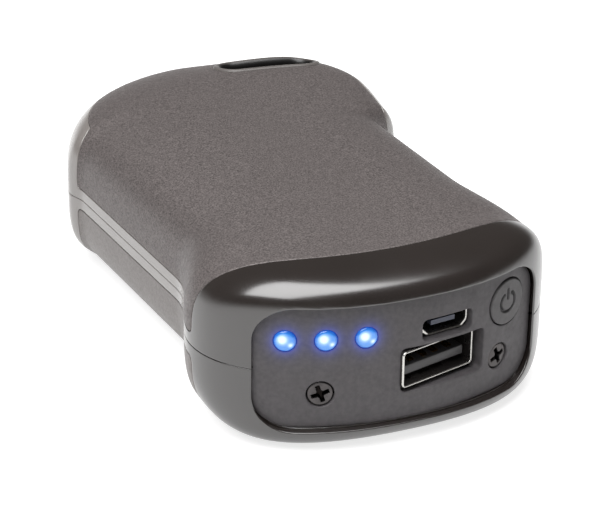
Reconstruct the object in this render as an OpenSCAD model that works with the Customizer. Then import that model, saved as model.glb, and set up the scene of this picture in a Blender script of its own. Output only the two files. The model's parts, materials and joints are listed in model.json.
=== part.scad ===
// Rechargeable hand warmer: two plastic half shells with crowned metal heat plates,
// and a curved end panel with indicators, charging sockets and a power button.
// Millimetres. +Z up, the panel faces -Y, and the underside rests on Z = 0.

/* [Body] */
// Length from the cap rim to the far end
body_l = 100; // [96:1:112]
// Thickness over both heat plates
body_t = 26.4; // [26:0.2:30]
// Half width of the head, the wide far end
head_half_w = 26.8; // [26.5:0.1:30]
// Length of the rounded dome that closes the head
dome_l = 28; // [24:1:30]
// Half width of the cap, the wide end round the panel
cap_half_w = 27.2; // [26.5:0.1:29]
// Distance from the cap rim to the cap's widest place
cap_l = 17.3; // [15:0.1:19]
// Length over which the cap narrows into the waist
cap_flare_l = 17; // [10:0.5:20]
// Left half width of the waist beside the cap
waist_left_near = 21.5; // [21.2:0.1:23]
// Left half width of the waist beside the head
waist_left_far = 26; // [24:0.1:26.5]
// Right half width of the waist beside the cap
waist_right_near = 25.6; // [23:0.1:26]
// Right half width of the waist beside the head
waist_right_far = 22.4; // [22:0.1:25.5]
// Distance from the dome forward to the left waist corner
corner_left = 3.5; // [2:0.5:10]
// Distance from the dome forward to the right waist corner
corner_right = 12; // [4:0.5:12]
// Length of the step between waist and head
corner_l = 4; // [3:0.5:6]
// Half thickness of the cap at its rim
rim_half_t = 10.9; // [10.6:0.1:11.5]
// Length over which the cap thickens behind its rim
rim_rise_l = 9; // [6:0.5:12]
// How much the far end is thinner, each side
tail_drop = 4; // [1:0.1:4.5]
// Exponent of the crowned cross-section, higher is squarer
crown_power = 4.1; // [3.6:0.1:5]

/* [Shells and plates] */
// Wall of the shells beside the waist
side_wall = 2.4; // [2.2:0.1:2.6]
// Shell thickness under a heater film
roof_wall = 1.2; // [1:0.1:1.6]
// Heat plate thickness
plate_t = 1; // [0.8:0.1:1.2]
// Height of the plastic band between parting line and plate
band_h = 1.8; // [1.4:0.1:2.4]
// Inset of the heat plate from the outline of the head
plate_inset = 2.5; // [1.6:0.1:4]
// Inset of the heat plate on the left side of the head
plate_inset_left = 3.8; // [1.6:0.1:4.5]
// Distance from the cap rim to the heat plate on the centre line
seam_y = 10; // [9:0.5:12]
// How far the heat plate's near edge is set back at its sides
seam_bow = 8; // [4:0.5:10]
// Gap between a heat plate and its recess
plate_gap = 0.15; // [0.05:0.05:0.25]
// Heater film thickness
film_t = 0.25; // [0.15:0.05:0.35]
// Heater film length
film_l = 48; // [40:1:52]
// Heater film width
film_w = 30; // [24:1:34]

/* [Lanyard eye] */
// Length of the eye's collar
eye_l = 18.5; // [16:0.5:20]
// Width of the eye's collar
eye_w = 8.2; // [8:0.1:9]
// Wall of the collar round the slot
eye_wall = 1.5; // [1.2:0.1:1.6]
// Distance of the eye from the centre line
eye_x = 12.5; // [6:0.5:13]
// Distance from the far end to the eye
eye_back = 15.5; // [13:0.5:17]
// Turn of the eye in plan, degrees
eye_turn = -8; // [-12:1:0]
// Height of the collar above the heat plate
eye_rise = 0.5; // [0.2:0.1:0.8]

/* [End panel] */
// Radius of the panel's curved face
panel_r = 42; // [40:1:48]
// Arc length of the panel
panel_l = 46.4; // [45:0.1:47]
// Height of the panel
panel_h = 19.2; // [18.6:0.1:19.8]
// Panel thickness
panel_t = 2; // [1.6:0.1:2.4]
// Depth of the panel's face behind the cap rim
panel_set = 1.5; // [1.3:0.1:1.8]
// Gap round the panel
panel_gap = 0.15; // [0.1:0.05:0.25]
// Depth of the ledge that carries the panel
ledge_t = 1.8; // [1.2:0.1:2.4]
// Width of that ledge
ledge_w = 1.1; // [0.9:0.1:1.3]

/* [Panel fittings] */
// Arc position of the first indicator
led_x = -18.2; // [-19:0.1:-17]
// Spacing of the indicators
led_pitch = 5.7; // [5.2:0.1:6]
// Height of the indicators above mid height
led_z = 4.2; // [4:0.1:4.6]
// Radius of an indicator's round body
led_r = 1.5; // [1.4:0.05:1.6]
// Arc position of the left panel screw
screw_left_x = -13.2; // [-14:0.1:-12]
// Arc position of the right panel screw
screw_right_x = 15.6; // [15:0.1:16.5]
// Height of the panel screws above mid height
screw_z = -4.2; // [-5:0.1:-4]
// Radius of a screw head
screw_head_r = 1.95; // [1.8:0.05:2]
// Radius of a screw shank
screw_r = 0.95; // [0.8:0.05:1]
// Screw shank length
screw_l = 6.5; // [5:0.5:7]
// Arc position of the output socket
usb_x = 5; // [4.4:0.1:5]
// Height of the output socket above mid height
usb_z = -1.6; // [-1.8:0.1:-1.4]
// Turn of the output socket in plan, degrees
usb_turn = 15; // [6:1:16]
// Arc position of the input socket
micro_x = 5.8; // [5:0.1:6]
// Arc position of the power button
button_x = 17; // [16.5:0.1:17.5]
// Height of the power button above mid height
button_z = 4.1; // [3.9:0.1:4.4]
// Power button radius
button_r = 3.5; // [3.2:0.1:3.7]
// Power button travel
button_travel = 0.5; // [0.3:0.1:0.6]
// Gap round the power button
button_gap = 0.2; // [0.12:0.02:0.25]

/* [Inside] */
// Largest battery cell radius
cell_r_max = 9.1; // [8.8:0.05:9.15]
// Gap between the far end of the cells and the lanyard eye
cell_end_gap = 2; // [1.5:0.5:6]
// Gap between the two cells
cell_gap = 0.6; // [0.4:0.1:0.8]
// Distance from the cap rim to the cells
cell_y = 27.5; // [27.5:0.5:29]
// Circuit board thickness
board_t = 1.2; // [1:0.1:1.4]

/* [Hidden] */

half_t = body_t / 2;
dome_y = body_l - dome_l;
cavity_half_t = half_t - plate_t - film_t - roof_wall;
cap_power = 2.1;
front_power = 9;
front_y = 0.45;
dome_power_left = 1.5;
dome_power_right = 2.1;
shoulder_power = 2.7;
tail_y = body_l * 0.75;
rows = 20;
rings = 7;

usb_w = 13.1;
usb_h = 5.7;
usb_depth = 14;
usb_wall = 0.3;
micro_w = 7.6;
micro_h = 2.7;
micro_depth = 5.4;
micro_wall = 0.25;
board_bottom = usb_z + usb_h / 2;
board_top = board_bottom + board_t;
micro_z = board_top + micro_h / 2;

waist_min = min(waist_left_near, waist_right_near, waist_left_far, waist_right_far);
cell_r = min(cell_r_max, cavity_half_t - 1.4, (waist_min - side_wall - 0.6 - cell_gap / 2) / 2);
cell_x = cell_r + cell_gap / 2;
nub_r = 3;
nub_l = 0.8;
tab_t = 0.3;
eye_y = body_l - eye_back;
eye_reach = eye_w / 2 + eye_l / 2 * sin(abs(eye_turn));
cell_end = eye_y - eye_reach - cell_end_gap - nub_l - tab_t;
cell_l = cell_end - cell_y;
pad_half_w = 14;
pad_z = cell_r - 1.7;
cradle_half_w = 12.5;
cradle_z = -cell_r / 2;
bead_r = 1;
bead_z = pad_z - bead_r;
board_end = cell_y - 3.1;

// The body is drawn with Y from the cap rim and Z from mid height, then set down
module set_down() translate([0, -(body_l + front_y) / 2, half_t]) children();

function mix(a, b, t) = a + (b - a) * t;
function clamp01(t) = min(1, max(0, t));
function ease(t) = let (c = clamp01(t)) c * c * (3 - 2 * c);
function arch(t, p) = pow(max(0, 1 - pow(clamp01(t), p)), 1 / p);

// Half width of the outline at y, side -1 left or 1 right
function waist_w(y, side) = let (t = clamp01((y - cap_l) / (dome_y - cap_l)))
    side < 0 ? mix(waist_left_near, waist_left_far, t) : mix(waist_right_near, waist_right_far, t);
function corner_y(side) = dome_y - (side < 0 ? corner_left : corner_right);
function dome_power(side) = side < 0 ? dome_power_left : dome_power_right;
function near_w(y, side) =
    mix(cap_half_w * arch((cap_l - y) / cap_l, cap_power), waist_w(y, side),
        ease((y - cap_l) / cap_flare_l));
function half_w(y, side) =
    mix(near_w(y, side), head_half_w * arch((y - dome_y) / dome_l, dome_power(side)),
        ease((y - corner_y(side)) / corner_l));

// Half thickness on the centre line at y, less d on every face
function crown_t(y, d) =
    min(half_t, mix(rim_half_t, half_t, arch((rim_rise_l - y) / rim_rise_l, 2))) - d
    - tail_drop * pow(max(0, (y - tail_y) / (body_l - tail_y)), 2);

// Rows of the outline from the cap rim to the far end, closer at both ends
function row_y(i) = body_l * (1 - cos(180 * i / rows)) / 2;
function outline_pt(i, side) = [side * half_w(row_y(i), side), row_y(i)];
function spine_pt(i) = [0, min(dome_y, max(cap_l, row_y(i)))];
function inward(o, s, d) = let (l = norm(s - o)) l < 0.01 ? o : o + (s - o) * min(1, d / l);

// Exponent of the cross-section at y: square at the panel, and fuller at the right shoulder
function section_power(y, side) = mix(front_power, crown_power, ease(y / cap_l))
    + (side < 0 ? 0 : shoulder_power * ease((y - dome_y + 12) / 16) * ease((body_l - y) / 10));

// A ring of the crowned surface: a is 0 at mid height and 90 on the spine
function crown_pt(i, side, a, d, wall) =
    let (s = spine_pt(i), o = inward(outline_pt(i, side), s, wall),
        p = section_power(row_y(i), side),
        q = mix(o, s, 1 - pow(cos(a), 2 / p)),
        flat = 0.992)
    [q[0], q[1], crown_t(q[1], d) * min(1, pow(sin(a), 2 / p) / flat)];

// Closed loop of 2 * rows points: up the right side and back down the left
function loop_pt(k, a, d, wall) =
    k <= rows ? crown_pt(k, 1, a, d, wall) : crown_pt(2 * rows - k, -1, a, d, wall);

// Upper half of the body, its faces moved in by d and its outline by wall
module crowned_half(d = 0, wall = 0) {
    n = 2 * rows;
    rise = [for (j = [0:rings - 1]) 84 * pow(j / (rings - 1), 1.15)];
    pts = [for (a = rise) for (k = [0:n - 1]) loop_pt(k, a, d, wall)];
    sides = [for (j = [0:rings - 2]) for (k = [0:n - 1])
        let (a = j * n + k, b = j * n + (k + 1) % n)
        each [[a, a + n, b + n], [a, b + n, b]]];
    last = (rings - 1) * n;
    lid = [for (i = [1:rows - 1]) let (r = last + i, l = last + n - i)
        each (i < rows - 1 ? [[r, l, r + 1], [l, l - 1, r + 1]] : [[r, l, r + 1]])];
    tip = [[last, last + n - 1, last + 1]];
    floor_face = [[for (k = [0:n - 1]) k]];
    polyhedron(pts, concat(sides, lid, tip, floor_face));
}

// Plan outline of a heat plate, grown by g
function plate_edge(i, side, g) =
    let (y = mix(seam_y, body_l - plate_inset + g, 1 - pow(1 - i / rows, 1.6)),
        u = (y - dome_y) / (dome_l - plate_inset + g),
        inset = side < 0 ? plate_inset_left : plate_inset,
        head = (head_half_w - inset + g) * arch(u, dome_power(side)))
    [side * mix(near_w(y, side) + 2, head, ease((y - corner_y(side)) / corner_l)), y];
function seam_pt(i, g) =
    let (t = mix(-1, 1, i / rows))
    [t * (cap_half_w + 3), seam_y - g + seam_bow * t * t];
module plate_plan(g = 0) intersection() {
    polygon([
        for (i = [0:rows]) plate_edge(i, 1, g),
        for (i = [rows - 1:-1:0]) plate_edge(i, -1, g)]);
    polygon([
        for (i = [0:rows]) seam_pt(i, g),
        [cap_half_w + 3, body_l],
        [-cap_half_w - 3, body_l]]);
}
module plate_zone(g = 0) translate([0, 0, band_h - g]) linear_extrude(body_t) plate_plan(g);

// A slot with round ends
module slot_plan(l, w) {
    square([l - w, w], center = true);
    for (s = [-1, 1]) translate([s * (l - w) / 2, 0]) circle(d = w, $fn = 32);
}
eye_top = crown_t(eye_y, 0) + 0.1;
module at_eye() translate([eye_x, eye_y, 0]) rotate(eye_turn) children();
module eye_column(g, h) at_eye() linear_extrude(h) slot_plan(eye_l + 2 * g, eye_w + 2 * g);
module eye_slot() at_eye() translate([0, 0, -1]) linear_extrude(body_t)
    slot_plan(eye_l - 2 * eye_wall, eye_w - 2 * eye_wall);

// Heater film on the flat middle of the body, with a tail down to the circuit board
film_y = cell_y - 4;
tail_x = -8;
tail_w = 6;
module film_zone(g) translate([-film_w / 2 - g, film_y - g, 1])
    cube([film_w + 2 * g, film_l + 2 * g, body_t]);

// End panel: a sheet on an upright cylinder, and places along its arc
panel_half = panel_r * sin(panel_l / 2 / panel_r * 180 / PI);
panel_corner = 5.2;
panel_back = panel_r - panel_t;
module panel_drum(r) translate([0, panel_set + panel_r, -body_t])
    cylinder(r = r, h = 2 * body_t, $fn = 180);
module panel_outline(g, deep) {
    hx = panel_half + g - panel_corner;
    hz = panel_h / 2 + g - panel_corner;
    translate([0, deep, 0]) rotate([90, 0, 0]) linear_extrude(deep + 10) {
        square([2 * hx, panel_h + 2 * g], center = true);
        square([2 * (panel_half + g), 2 * hz], center = true);
        for (sx = [-1, 1]) for (sz = [-1, 1]) translate([sx * hx, sz * hz])
            circle(r = panel_corner, $fn = 32);
    }
}
module on_panel(x, z) {
    b = x / panel_r * 180 / PI;
    translate([panel_r * sin(b), panel_set + panel_r * (1 - cos(b)), z]) rotate(b) children();
}
// A rod along the inward normal from depth d, and a block centred on it
module rod(d, l, r) translate([0, d, 0]) rotate([-90, 0, 0]) cylinder(r = r, h = l, $fn = 40);
module block(d, l, w, h) translate([-w / 2, d, -h / 2]) cube([w, l, h]);
module at_usb() {
    b = usb_x / panel_r * 180 / PI;
    translate([panel_r * sin(b), panel_set + panel_r * (1 - cos(b)), usb_z]) rotate(usb_turn)
        translate([0, usb_set, 0]) children();
}
usb_set = 0.9;
screw_points = [screw_left_x, screw_right_x];
head_h = 1.1;
head_set = 0.25;
boss_r = 2.4;

flange_w = 0.45;
button_room = 0.4;

// Pegs that line the two shells up, beside the cells
peg_r = 1.1;
peg_fit = 0.05;
peg_l = 3;
peg_column_r = 2.2;
peg_h = cavity_half_t * 0.76;
peg_rows = [cell_y - 5.5, cell_y + cell_l + 3];
module at_pegs() for (y = peg_rows) for (s = [-1, 1])
    translate([s * (half_w(y, s) - side_wall - 1.9), y, 0]) children();

// Board posts
post_x = 14;
post_y = cell_y - 7.5;
post_pin_r = 0.7;
board_half_w = 18.3;
module at_posts() for (s = [-1, 1]) translate([s * post_x, post_y, 0]) children();

// Upper half of the shell pair, without fittings
module skin_half() {
    crowned_half(plate_t + film_t, plate_t + film_t);
    difference() {
        crowned_half(plate_t, plate_t);
        film_zone(plate_gap);
    }
    difference() {
        crowned_half();
        plate_zone(plate_gap);
    }
}
module cavity_half() difference() {
    crowned_half(half_t - cavity_half_t, side_wall);
    difference() {
        translate([-40, -5, -1]) cube([80, cell_y - 3, body_t]);
        panel_drum(panel_back - ledge_t);
    }
}
module shell_half() difference() {
    union() {
        difference() {
            skin_half();
            translate([0, 0, -0.001]) cavity_half();
            panel_outline(-ledge_w, 16);
            difference() {
                panel_outline(panel_gap, 16);
                panel_drum(panel_back);
            }
            on_panel(button_x, button_z) rod(panel_t, ledge_t + 2, button_r + flange_w + button_room);
        }
        intersection() {
            eye_column(0, eye_top);
            crowned_half(-eye_rise, -eye_rise);
        }
        at_pegs() cylinder(r = peg_column_r, h = peg_h, $fn = 32);
    }
    eye_slot();
    translate([tail_x - 0.2, film_y - 0.2, 1]) cube([tail_w + 0.4, 0.9, body_t]);
}
module plate_half() difference() {
    intersection() {
        plate_zone();
        crowned_half();
    }
    crowned_half(plate_t, plate_t);
    translate([0, 0, -1]) eye_column(plate_gap, body_t);
}
module film_half(tail_end) {
    difference() {
        intersection() {
            film_zone(0);
            crowned_half(plate_t, plate_t);
        }
        crowned_half(plate_t + film_t, plate_t + film_t);
    }
    translate([tail_x, film_y, tail_end])
        cube([tail_w, film_t, half_t - plate_t - film_t / 2 - tail_end]);
}

module top_shell() color("#2b2827") set_down() {
    shell_half();
    at_pegs() translate([0, 0, -peg_l]) cylinder(r = peg_r, h = peg_l + 1, $fn = 32);
}
module bottom_shell() color("#2b2827") set_down() difference() {
    union() {
        mirror([0, 0, 1]) shell_half();
        intersection() {
            for (x = screw_points) on_panel(x, screw_z) {
                rod(0, panel_t + screw_l, boss_r);
                translate([-1, 0, -cavity_half_t - screw_z - 0.4])
                    cube([2, panel_t + screw_l, cavity_half_t + screw_z]);
            }
            panel_drum(panel_back);
        }
        at_posts() {
            translate([0, 0, -cavity_half_t - 0.4])
                cylinder(r = 1.7, h = cavity_half_t + 0.4 + board_bottom, $fn = 32);
            cylinder(r = post_pin_r, h = board_top, $fn = 32);
        }
    }
    at_pegs() translate([0, 0, -peg_l - 0.3]) cylinder(r = peg_r + peg_fit, h = peg_l + 1, $fn = 32);
    for (x = screw_points) on_panel(x, screw_z) rod(0, panel_t + screw_l - 0.8, screw_r);
}
module top_heat_plate() color("#6b6866") set_down() plate_half();
module bottom_heat_plate() color("#8f8b87") set_down() mirror([0, 0, 1]) plate_half();
module top_heater_film() color("#a8622d") set_down() film_half(board_top);
module bottom_heater_film() color("#a8622d") set_down() mirror([0, 0, 1]) film_half(-board_bottom);

module end_panel() color("#4f4d4e") set_down() difference() {
    intersection() {
        difference() {
            panel_drum(panel_r);
            panel_drum(panel_back);
        }
        panel_outline(0, 16);
    }
    for (i = [0:2]) on_panel(led_x + i * led_pitch, led_z) rod(-2, 8, led_r + 0.08);
    for (x = screw_points) on_panel(x, screw_z) {
        rod(-2, 8, screw_r + 0.15);
        rod(-2, 2 + head_set + head_h, screw_head_r + 0.12);
    }
    on_panel(button_x, button_z) rod(-2, 8, button_r + button_gap);
    at_usb() translate([0.45, 0, -0.25]) block(-4, 9, usb_w + 1.5, usb_h + 1.1);
    on_panel(micro_x, micro_z) block(-2, 8, micro_w + 0.8, micro_h + 0.5);
}
module panel_screws() color("#8d8f92") set_down() for (x = screw_points) on_panel(x, screw_z) difference() {
    union() {
        rod(head_set, head_h, screw_head_r);
        rod(head_set + 0.5, screw_l, screw_r);
    }
    block(0, head_set + 0.6, 2.4, 0.5);
    block(0, head_set + 0.6, 0.5, 2.4);
}

module led(i) color("#2b55d8") set_down() on_panel(led_x + i * led_pitch, led_z) {
    intersection() {
        rod(-0.3, 4.3, led_r);
        translate([0, 2.2, 0]) sphere(r = 2.75, $fn = 40);
    }
    rod(2.3, 1.7, led_r);
    rod(panel_t + 0.08, 0.9, led_r + 0.3);
    for (s = [-1, 1]) {
        translate([s * 0.8 - 0.22, 3.9, -0.22]) cube([0.44, 2, 0.44]);
        translate([s * 0.8 - 0.22, 5.4, board_top - led_z]) cube([0.44, 0.5, led_z - board_top]);
    }
}
module led_left() led(0);
module led_middle() led(1);
module led_right() led(2);

module usb_a_shell() color("#c9cbcf") set_down() at_usb() difference() {
    block(0, usb_depth, usb_w, usb_h);
    block(-1, usb_depth + 2, usb_w - 2 * usb_wall, usb_h - 2 * usb_wall);
}
tongue_z = -1.45;
tongue_h = 1.5;
module usb_a_tongue() color("#77797d") set_down() at_usb() {
    block(usb_depth - 3.6, 3.6, usb_w - 2 * usb_wall, usb_h - 2 * usb_wall);
    translate([0, 0, tongue_z]) block(1, usb_depth - 3.6, 11.2, tongue_h);
}
module usb_a_contacts() color("#c9a24c") set_down() at_usb()
    for (x = [-3.5, -1, 1, 3.5]) translate([x, 0, tongue_z + tongue_h / 2 + 0.1])
        block(1.8, usb_depth - 5.4, 1.1, 0.2);

module micro_plan(g) polygon([
    [-micro_w / 2 + g, micro_h / 2 - g],
    [micro_w / 2 - g, micro_h / 2 - g],
    [micro_w / 2 - g, -micro_h / 2 + 0.9],
    [micro_w / 2 - 0.9 - g / 2, -micro_h / 2 + g],
    [-micro_w / 2 + 0.9 + g / 2, -micro_h / 2 + g],
    [-micro_w / 2 + g, -micro_h / 2 + 0.9]]);
module at_micro() on_panel(micro_x, micro_z) translate([0, 1.1, 0])
    rotate([90, 0, 0]) mirror([0, 0, 1]) children();
module micro_usb_shell() color("#c9cbcf") set_down() at_micro() difference() {
    linear_extrude(micro_depth) micro_plan(0);
    translate([0, 0, -1]) linear_extrude(micro_depth + 2) micro_plan(micro_wall);
}
module micro_usb_tongue() color("#3c6ac4") set_down() at_micro() {
    translate([0, 0, micro_depth - 1.5]) linear_extrude(1.5) micro_plan(micro_wall);
    translate([-2, -0.15, 0.4]) cube([4, 0.7, micro_depth - 1]);
}

flange_d = panel_t + 0.6;
plunger_d = 4.7;
switch_d = 5.8;
plunger_r = 1.2;
plunger_fit = 0.05;
module power_button() color("#4a484a") set_down() on_panel(button_x, button_z) difference() {
    union() {
        rod(-0.35, flange_d + 0.4, button_r);
        rod(flange_d, 0.7, button_r + flange_w);
        rod(flange_d, plunger_d - flange_d, 1.5);
    }
    rod(-1, 0.9, 1.5);
}
module switch_plunger() color("#d9d4c6") set_down() on_panel(button_x, button_z)
    rod(plunger_d, switch_d - plunger_d + 1.4, plunger_r);
module switch_body() color("#1d1d20") set_down() on_panel(button_x, button_z) difference() {
    translate([-3, switch_d, board_top - button_z]) cube([6, 3.4, 3.6]);
    rod(switch_d - 1, 1 + 1.4 + button_travel + 0.3, plunger_r + plunger_fit);
}

module circuit_board() color("#1d5a37") set_down() difference() {
    intersection() {
        translate([-board_half_w, 0, board_bottom]) cube([2 * board_half_w, board_end, board_t]);
        panel_drum(panel_back - ledge_t - 0.3);
    }
    at_posts() translate([0, 0, board_bottom - 1])
        cylinder(r = post_pin_r + 0.1, h = board_t + 2, $fn = 32);
}
module power_inductor() color("#3a3a3e") set_down() translate([-4.5, post_y - 3.5, board_top]) {
    translate([-3.5, -3.5, 0]) cube([7, 7, 1]);
    cylinder(r = 3.2, h = 4, $fn = 40);
}
module charge_chip() color("#1a1a1c") set_down() translate([3.5, post_y - 5, board_top]) {
    cube([5, 4.4, 1.3]);
    for (i = [0:3]) for (x = [-0.6, 5]) translate([x, 0.4 + i * 1.05, 0]) cube([0.6, 0.4, 0.5]);
}
module output_capacitors() color("#b9bcc2") set_down()
    for (x = [-12.5, 11.5]) translate([x, post_y - 4.7, board_top]) cylinder(r = 2, h = 5.4, $fn = 32);

module rod_y(x, y, l, r, z = 0) translate([x, y, z]) rotate([-90, 0, 0]) cylinder(r = r, h = l, $fn = 64);
module battery_cell_left() color("#2f6f9e") set_down() {
    rod_y(-cell_x, cell_y, cell_l, cell_r);
    rod_y(-cell_x, cell_y - nub_l, nub_l + 1, nub_r);
}
module battery_cell_right() color("#2f6f9e") set_down() {
    rod_y(cell_x, cell_y, cell_l, cell_r);
    rod_y(cell_x, cell_end - 1, nub_l + 1, nub_r);
}
module battery_cradle() color("#d8d2c4") set_down() difference() {
    intersection() {
        translate([-cradle_half_w, cell_y + 3, -body_t])
            cube([2 * cradle_half_w, cell_l - 8, body_t + cradle_z]);
        mirror([0, 0, 1]) crowned_half(half_t - cavity_half_t, side_wall);
    }
    for (s = [-1, 1]) rod_y(s * cell_x, cell_y, cell_l, cell_r);
}
module foam_pad() color("#e0b93c") set_down() difference() {
    intersection() {
        translate([-pad_half_w, cell_y + 6, pad_z]) cube([2 * pad_half_w, cell_l - 14, body_t]);
        crowned_half(half_t - cavity_half_t, side_wall);
    }
    for (s = [-1, 1]) rod_y(s * cell_x, cell_y, cell_l, cell_r);
}
lead_r = 0.6;
lead_y = cell_y - 6.5;
lead_z = board_top + lead_r;
module cell_tab_left() color("#c5c7ca") set_down()
    translate([-cell_x - 2.2, cell_y - nub_l - tab_t, -4]) cube([4.4, tab_t, lead_z + lead_r + 4]);
module cell_tab_right() color("#c5c7ca") set_down()
    translate([cell_x - 2.2, cell_y - tab_t, -4]) cube([4.4, tab_t, lead_z + lead_r + 4]);
module cell_bridge() color("#c5c7ca") set_down() translate([0, cell_end, -2]) linear_extrude(4) polygon([
    [-cell_x - 2, 0],
    [0, 0],
    [cell_x - 3, nub_l],
    [cell_x + 2, nub_l],
    [cell_x + 2, nub_l + tab_t],
    [cell_x - 3.1, nub_l + tab_t],
    [-0.1, tab_t],
    [-cell_x - 2, tab_t]]);
module battery_lead_positive() color("#b3261e") set_down()
    rod_y(-cell_x, lead_y, cell_y - nub_l - tab_t - lead_y, lead_r, lead_z);
module battery_lead_negative() color("#1c1c1e") set_down()
    rod_y(cell_x, lead_y, cell_y - tab_t - lead_y, lead_r, lead_z);
module temperature_sensor() color("#7a3b22") set_down() {
    translate([0, cell_y + cell_l / 2, bead_z]) sphere(r = bead_r, $fn = 32);
    for (x = [-0.4, 0.4]) {
        rod_y(x, board_end - 0.4, cell_y + cell_l / 2 - board_end, 0.2, bead_z);
        translate([x, board_end - 0.4, board_top])
            cylinder(r = 0.2, h = bead_z + 0.2 - board_top, $fn = 16);
    }
}

top_shell();
bottom_shell();
top_heat_plate();
bottom_heat_plate();
top_heater_film();
bottom_heater_film();
end_panel();
panel_screws();
led_left();
led_middle();
led_right();
usb_a_shell();
usb_a_tongue();
usb_a_contacts();
micro_usb_shell();
micro_usb_tongue();
power_button();
switch_body();
switch_plunger();
circuit_board();
power_inductor();
charge_chip();
output_capacitors();
battery_cell_left();
battery_cell_right();
battery_cradle();
foam_pad();
cell_tab_left();
cell_tab_right();
cell_bridge();
battery_lead_positive();
battery_lead_negative();
temperature_sensor();
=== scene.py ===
# rechargeable hand warmer: the looks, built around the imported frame
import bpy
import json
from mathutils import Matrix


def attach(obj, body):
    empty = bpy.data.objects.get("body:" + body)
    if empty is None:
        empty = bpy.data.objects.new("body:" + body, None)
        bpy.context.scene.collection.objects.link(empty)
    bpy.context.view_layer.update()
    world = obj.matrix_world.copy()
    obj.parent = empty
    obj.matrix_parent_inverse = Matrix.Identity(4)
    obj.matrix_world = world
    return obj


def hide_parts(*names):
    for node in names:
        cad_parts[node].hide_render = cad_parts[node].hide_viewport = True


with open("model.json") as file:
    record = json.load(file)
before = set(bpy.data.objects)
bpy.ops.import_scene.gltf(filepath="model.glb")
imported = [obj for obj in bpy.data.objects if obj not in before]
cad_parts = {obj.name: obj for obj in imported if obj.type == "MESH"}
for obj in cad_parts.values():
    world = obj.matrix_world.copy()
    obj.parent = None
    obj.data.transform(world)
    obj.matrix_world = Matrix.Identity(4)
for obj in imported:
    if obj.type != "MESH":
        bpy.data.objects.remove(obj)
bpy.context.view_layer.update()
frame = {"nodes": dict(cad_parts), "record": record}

import json
import math
import bpy
import numpy as np
from mathutils import Matrix, Vector

# sizes below are in millimetres: x across, y in from the cap's rim, z up from the parting line
body = dict(
    length=100, halfT=13.2, headHalfW=26.8, domeL=28, domeLeft=1.5, domeRight=2.1,
    capHalfW=27.2, capL=17.3, capPower=2.1, flareL=17,
    waistLeft=(21.5, 26.0), waistRight=(25.6, 22.4), cornerLeft=3.5, cornerRight=12, cornerL=4,
    rimHalfT=10.9, rimRiseL=9, tailDrop=4, tailY=75, crownPower=4.1, frontPower=9,
    shoulderPower=2.7, shoulderAhead=12, shoulderL=16, shoulderEndL=10,
    frontY=0.45, rowStep=0.62, ringCount=54, outlineSamples=6000, sectionSamples=500, headSamples=400,
    ringSpread=(0.62, 0.38, 2.4))  # even share, share drawn to the flank, and the power of that draw
domeY = body["length"] - body["domeL"]
frameShift = np.array([0, -(body["length"] + body["frontY"]) / 2, body["halfT"]])
snap = 0.004  # a cut this close to a vertex goes through it
slopeLimits = (0.15, 4)  # bounds of a field's slope when it is scaled to millimetres
edgeSteps = (0.1, 0.32, 0.65, 1)  # where the rows across a rounded edge lie
farAway = 30.0  # distance given where a field has no edge


# mesh helpers
def toFrame(points):
    return (np.asarray(points, float) + frameShift) / 1000


def vertexPlaces(piece):
    return np.array([vertex.co[:] for vertex in piece.data.vertices]) * 1000 - frameShift


def markVertices(piece, name, values):
    mark = piece.data.attributes.new(name, "FLOAT", "POINT")
    mark.data.foreach_set("value", np.asarray(values, float).tolist())


def makePiece(name, points, faces, material, bodyName="housing", sharp=35):
    mesh = bpy.data.meshes.new(name)
    mesh.from_pydata(toFrame(points).tolist(), [], [list(map(int, f)) for f in faces])
    mesh.polygons.foreach_set("use_smooth", [True] * len(mesh.polygons))
    mesh.set_sharp_from_angle(angle=math.radians(sharp))
    mesh.materials.append(material)
    piece = bpy.data.objects.new(name, mesh)
    bpy.context.scene.collection.objects.link(piece)
    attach(piece, bodyName)
    return piece


def unit(vectors):
    size = np.linalg.norm(vectors, axis=-1, keepdims=True)
    return vectors / np.maximum(size, 1e-9)


# a sheet is a triangle mesh whose columns are place, normal and any distance fields
def newSheet(points, normals, tris):
    return dict(names=["x", "y", "z", "nx", "ny", "nz"],
                cols=np.hstack([points, normals]), tris=np.asarray(tris))


def column(sheet, name):
    return sheet["cols"][:, sheet["names"].index(name)]


def addField(sheet, name, values, even=True):
    points, tris = sheet["cols"][:, :3], sheet["tris"]
    if even:  # divide by the slope along the surface, so that the field reads in millimetres
        a, b, c = (points[tris[:, i]] for i in range(3))
        fa, fb, fc = (values[tris[:, i]] for i in range(3))
        normal = np.cross(b - a, c - a)
        area2 = np.maximum(np.sum(normal ** 2, 1, keepdims=True), 1e-12)
        slope = (np.cross(normal, c - b) * fa[:, None] + np.cross(normal, a - c) * fb[:, None]
                 + np.cross(normal, b - a) * fc[:, None]) / area2
        size = np.linalg.norm(slope, axis=1)
        weight = np.sqrt(area2[:, 0])
        total, share = np.zeros(len(points)), np.zeros(len(points))
        for i in range(3):
            np.add.at(total, tris[:, i], size * weight)
            np.add.at(share, tris[:, i], weight)
        values = values / np.clip(total / np.maximum(share, 1e-12), *slopeLimits)
    sheet["names"] = sheet["names"] + [name]
    sheet["cols"] = np.hstack([sheet["cols"], values[:, None]])


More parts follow.
